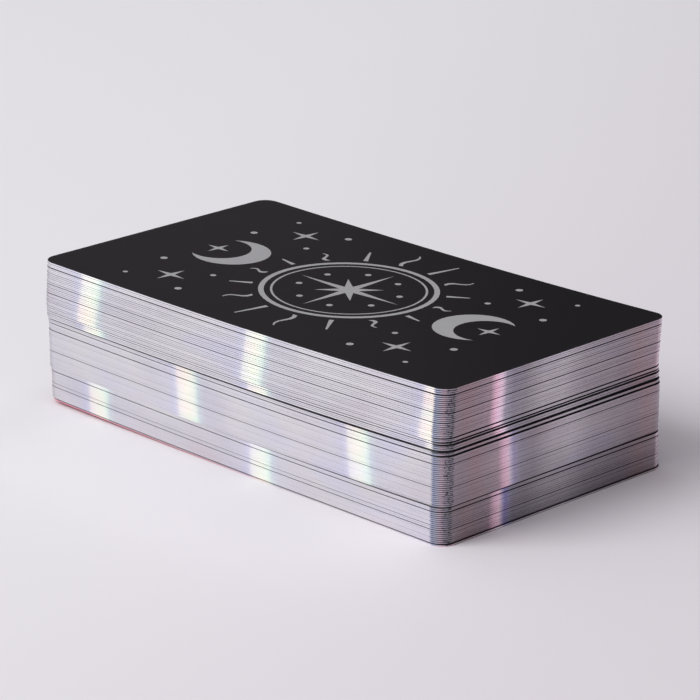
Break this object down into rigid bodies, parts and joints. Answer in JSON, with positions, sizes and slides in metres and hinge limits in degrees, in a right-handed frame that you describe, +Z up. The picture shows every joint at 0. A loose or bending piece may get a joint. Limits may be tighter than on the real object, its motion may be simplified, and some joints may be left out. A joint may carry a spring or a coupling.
{
  "type": "deck of tarot cards",
  "caption": "Stack of tarot cards with black backs and bright foil edges, lying face down in loosely squared packets; cards can be drawn and packets cut.",
  "frame": {"origin": "on the table under the middle of the top card, in the plane of the bottom card's printed side", "axes": "+X along the length of the cards, +Y across them, +Z up through the stack towards the backs of the cards"},
  "size_m": [0.1215, 0.072, 0.0329],
  "materials": {
    "card": "matte laminate"
  },
  "bodies": {
    "bottom_card": {"bottom_card": "card"},
    "card_02": {"card_02": "card"},
    "cards_03_04": {"cards_03_04": "card"},
    "cards_05_06": {"cards_05_06": "card"},
    "cards_07_08": {"cards_07_08": "card"},
    "cards_09_10": {"cards_09_10": "card"},
    "cards_11_12": {"cards_11_12": "card"},
    "cards_13_14": {"cards_13_14": "card"},
    "cards_15_16": {"cards_15_16": "card"},
    "card_17": {"card_17": "card"},
    "card_18": {"card_18": "card"},
    "card_19": {"card_19": "card"},
    "card_20": {"card_20": "card"},
    "card_21": {"card_21": "card"},
    "cards_22_23": {"cards_22_23": "card"},
    "cards_24_25": {"cards_24_25": "card"},
    "cards_26_27": {"cards_26_27": "card"},
    "cards_28_29": {"cards_28_29": "card"},
    "cards_30_31": {"cards_30_31": "card"},
    "cards_32_33": {"cards_32_33": "card"},
    "cards_34_35": {"cards_34_35": "card"},
    "cards_36_37": {"cards_36_37": "card"},
    "cards_38_39": {"cards_38_39": "card"},
    "cards_40_41": {"cards_40_41": "card"},
    "cards_42_43": {"cards_42_43": "card"},
    "card_44": {"card_44": "card"},
    "card_45": {"card_45": "card"},
    "card_46": {"card_46": "card"},
    "card_47": {"card_47": "card"},
    "card_48": {"card_48": "card"},
    "card_49": {"card_49": "card"},
    "card_50": {"card_50": "card"},
    "card_51": {"card_51": "card"},
    "card_52": {"card_52": "card"},
    "card_53": {"card_53": "card"},
    "card_54": {"card_54": "card"},
    "card_55": {"card_55": "card"},
    "card_56": {"card_56": "card"},
    "card_57": {"card_57": "card"},
    "card_58": {"card_58": "card"},
    "card_59": {"card_59": "card"},
    "card_60": {"card_60": "card"},
    "card_61": {"card_61": "card"},
    "card_62": {"card_62": "card"},
    "card_63": {"card_63": "card"},
    "card_64": {"card_64": "card"},
    "card_65": {"card_65": "card"},
    "card_66": {"card_66": "card"},
    "card_67": {"card_67": "card"},
    "card_68": {"card_68": "card"},
    "card_69": {"card_69": "card"},
    "card_70": {"card_70": "card"},
    "card_71": {"card_71": "card"},
    "card_72": {"card_72": "card"},
    "card_73": {"card_73": "card"},
    "card_74": {"card_74": "card"},
    "card_75": {"card_75": "card"},
    "card_76": {"card_76": "card"},
    "card_77": {"card_77": "card"},
    "top_card": {"top_card": "card"}
  },
  "joints": [
    {"name": "cut_upper_packet", "type": "slide", "parent": "card_20", "child": "card_48", "axis": [0, 0, 1], "range_m": [0, 0.03]},
    {"name": "cut_middle_packet", "type": "slide", "parent": "bottom_card", "child": "card_20", "axis": [0, 0, 1], "range_m": [0, 0.03]},
    {"name": "draw_top_card", "type": "slide", "parent": "card_48", "child": "top_card", "axis": [0, 1, 0], "range_m": [-0.075, 0.075]},
    {"name": "draw_card_77", "type": "slide", "parent": "card_48", "child": "card_77", "axis": [0, 1, 0], "range_m": [-0.075, 0.075]},
    {"name": "draw_card_70", "type": "slide", "parent": "card_48", "child": "card_70", "axis": [0, 1, 0], "range_m": [-0.075, 0.075]},
    {"name": "draw_card_60", "type": "slide", "parent": "card_48", "child": "card_60", "axis": [0, 1, 0], "range_m": [-0.075, 0.075]},
    {"name": "draw_card_50", "type": "slide", "parent": "card_48", "child": "card_50", "axis": [0, 1, 0], "range_m": [-0.075, 0.075]},
    {"name": "draw_card_47", "type": "slide", "parent": "card_20", "child": "card_47", "axis": [0, 1, 0], "range_m": [-0.075, 0.075]},
    {"name": "draw_card_44", "type": "slide", "parent": "card_20", "child": "card_44", "axis": [0, 1, 0], "range_m": [-0.075, 0.075]},
    {"name": "draw_cards_42_43", "type": "slide", "parent": "card_20", "child": "cards_42_43", "axis": [0, 1, 0], "range_m": [-0.075, 0.075]},
    {"name": "draw_cards_30_31", "type": "slide", "parent": "card_20", "child": "cards_30_31", "axis": [0, 1, 0], "range_m": [-0.075, 0.075]},
    {"name": "draw_card_21", "type": "slide", "parent": "card_20", "child": "card_21", "axis": [0, 1, 0], "range_m": [-0.075, 0.075]},
    {"name": "draw_card_19", "type": "slide", "parent": "bottom_card", "child": "card_19", "axis": [0, 1, 0], "range_m": [-0.075, 0.075]},
    {"name": "draw_card_17", "type": "slide", "parent": "bottom_card", "child": "card_17", "axis": [0, 1, 0], "range_m": [-0.075, 0.075]},
    {"name": "draw_cards_09_10", "type": "slide", "parent": "bottom_card", "child": "cards_09_10", "axis": [0, 1, 0], "range_m": [-0.075, 0.075]},
    {"name": "draw_card_02", "type": "slide", "parent": "bottom_card", "child": "card_02", "axis": [0, 1, 0], "range_m": [-0.075, 0.075]},
    {"name": "draw_card_76", "type": "slide", "parent": "card_48", "child": "card_76", "axis": [0, 1, 0], "range_m": [-0.075, 0.075]},
    {"name": "draw_card_75", "type": "slide", "parent": "card_48", "child": "card_75", "axis": [0, 1, 0], "range_m": [-0.075, 0.075]},
    {"name": "draw_card_74", "type": "slide", "parent": "card_48", "child": "card_74", "axis": [0, 1, 0], "range_m": [-0.075, 0.075]},
    {"name": "draw_card_73", "type": "slide", "parent": "card_48", "child": "card_73", "axis": [0, 1, 0], "range_m": [-0.075, 0.075]},
    {"name": "draw_card_72", "type": "slide", "parent": "card_48", "child": "card_72", "axis": [0, 1, 0], "range_m": [-0.075, 0.075]},
    {"name": "draw_card_71", "type": "slide", "parent": "card_48", "child": "card_71", "axis": [0, 1, 0], "range_m": [-0.075, 0.075]},
    {"name": "draw_card_69", "type": "slide", "parent": "card_48", "child": "card_69", "axis": [0, 1, 0], "range_m": [-0.075, 0.075]},
    {"name": "draw_card_68", "type": "slide", "parent": "card_48", "child": "card_68", "axis": [0, 1, 0], "range_m": [-0.075, 0.075]},
    {"name": "draw_card_67", "type": "slide", "parent": "card_48", "child": "card_67", "axis": [0, 1, 0], "range_m": [-0.075, 0.075]},
    {"name": "draw_card_66", "type": "slide", "parent": "card_48", "child": "card_66", "axis": [0, 1, 0], "range_m": [-0.075, 0.075]},
    {"name": "draw_card_65", "type": "slide", "parent": "card_48", "child": "card_65", "axis": [0, 1, 0], "range_m": [-0.075, 0.075]},
    {"name": "draw_card_64", "type": "slide", "parent": "card_48", "child": "card_64", "axis": [0, 1, 0], "range_m": [-0.075, 0.075]},
    {"name": "draw_card_63", "type": "slide", "parent": "card_48", "child": "card_63", "axis": [0, 1, 0], "range_m": [-0.075, 0.075]},
    {"name": "draw_card_62", "type": "slide", "parent": "card_48", "child": "card_62", "axis": [0, 1, 0], "range_m": [-0.075, 0.075]},
    {"name": "draw_card_61", "type": "slide", "parent": "card_48", "child": "card_61", "axis": [0, 1, 0], "range_m": [-0.075, 0.075]},
    {"name": "draw_card_59", "type": "slide", "parent": "card_48", "child": "card_59", "axis": [0, 1, 0], "range_m": [-0.075, 0.075]},
    {"name": "draw_card_58", "type": "slide", "parent": "card_48", "child": "card_58", "axis": [0, 1, 0], "range_m": [-0.075, 0.075]},
    {"name": "draw_card_57", "type": "slide", "parent": "card_48", "child": "card_57", "axis": [0, 1, 0], "range_m": [-0.075, 0.075]},
    {"name": "draw_card_56", "type": "slide", "parent": "card_48", "child": "card_56", "axis": [0, 1, 0], "range_m": [-0.075, 0.075]},
    {"name": "draw_card_55", "type": "slide", "parent": "card_48", "child": "card_55", "axis": [0, 1, 0], "range_m": [-0.075, 0.075]},
    {"name": "draw_card_54", "type": "slide", "parent": "card_48", "child": "card_54", "axis": [0, 1, 0], "range_m": [-0.075, 0.075]},
    {"name": "draw_card_53", "type": "slide", "parent": "card_48", "child": "card_53", "axis": [0, 1, 0], "range_m": [-0.075, 0.075]},
    {"name": "draw_card_52", "type": "slide", "parent": "card_48", "child": "card_52", "axis": [0, 1, 0], "range_m": [-0.075, 0.075]},
    {"name": "draw_card_51", "type": "slide", "parent": "card_48", "child": "card_51", "axis": [0, 1, 0], "range_m": [-0.075, 0.075]},
    {"name": "draw_card_49", "type": "slide", "parent": "card_48", "child": "card_49", "axis": [0, 1, 0], "range_m": [-0.075, 0.075]},
    {"name": "draw_card_46", "type": "slide", "parent": "card_20", "child": "card_46", "axis": [0, 1, 0], "range_m": [-0.075, 0.075]},
    {"name": "draw_card_45", "type": "slide", "parent": "card_20", "child": "card_45", "axis": [0, 1, 0], "range_m": [-0.075, 0.075]},
    {"name": "draw_cards_40_41", "type": "slide", "parent": "card_20", "child": "cards_40_41", "axis": [0, 1, 0], "range_m": [-0.075, 0.075]},
    {"name": "draw_cards_38_39", "type": "slide", "parent": "card_20", "child": "cards_38_39", "axis": [0, 1, 0], "range_m": [-0.075, 0.075]},
    {"name": "draw_cards_36_37", "type": "slide", "parent": "card_20", "child": "cards_36_37", "axis": [0, 1, 0], "range_m": [-0.075, 0.075]},
    {"name": "draw_cards_34_35", "type": "slide", "parent": "card_20", "child": "cards_34_35", "axis": [0, 1, 0], "range_m": [-0.075, 0.075]},
    {"name": "draw_cards_32_33", "type": "slide", "parent": "card_20", "child": "cards_32_33", "axis": [0, 1, 0], "range_m": [-0.075, 0.075]},
    {"name": "draw_cards_28_29", "type": "slide", "parent": "card_20", "child": "cards_28_29", "axis": [0, 1, 0], "range_m": [-0.075, 0.075]},
    {"name": "draw_cards_26_27", "type": "slide", "parent": "card_20", "child": "cards_26_27", "axis": [0, 1, 0], "range_m": [-0.075, 0.075]},
    {"name": "draw_cards_24_25", "type": "slide", "parent": "card_20", "child": "cards_24_25", "axis": [0, 1, 0], "range_m": [-0.075, 0.075]},
    {"name": "draw_cards_22_23", "type": "slide", "parent": "card_20", "child": "cards_22_23", "axis": [0, 1, 0], "range_m": [-0.075, 0.075]},
    {"name": "draw_card_18", "type": "slide", "parent": "bottom_card", "child": "card_18", "axis": [0, 1, 0], "range_m": [-0.075, 0.075]},
    {"name": "draw_cards_15_16", "type": "slide", "parent": "bottom_card", "child": "cards_15_16", "axis": [0, 1, 0], "range_m": [-0.075, 0.075]},
    {"name": "draw_cards_13_14", "type": "slide", "parent": "bottom_card", "child": "cards_13_14", "axis": [0, 1, 0], "range_m": [-0.075, 0.075]},
    {"name": "draw_cards_11_12", "type": "slide", "parent": "bottom_card", "child": "cards_11_12", "axis": [0, 1, 0], "range_m": [-0.075, 0.075]},
    {"name": "draw_cards_07_08", "type": "slide", "parent": "bottom_card", "child": "cards_07_08", "axis": [0, 1, 0], "range_m": [-0.075, 0.075]},
    {"name": "draw_cards_05_06", "type": "slide", "parent": "bottom_card", "child": "cards_05_06", "axis": [0, 1, 0], "range_m": [-0.075, 0.075]},
    {"name": "draw_cards_03_04", "type": "slide", "parent": "bottom_card", "child": "cards_03_04", "axis": [0, 1, 0], "range_m": [-0.075, 0.075]}
  ]
}
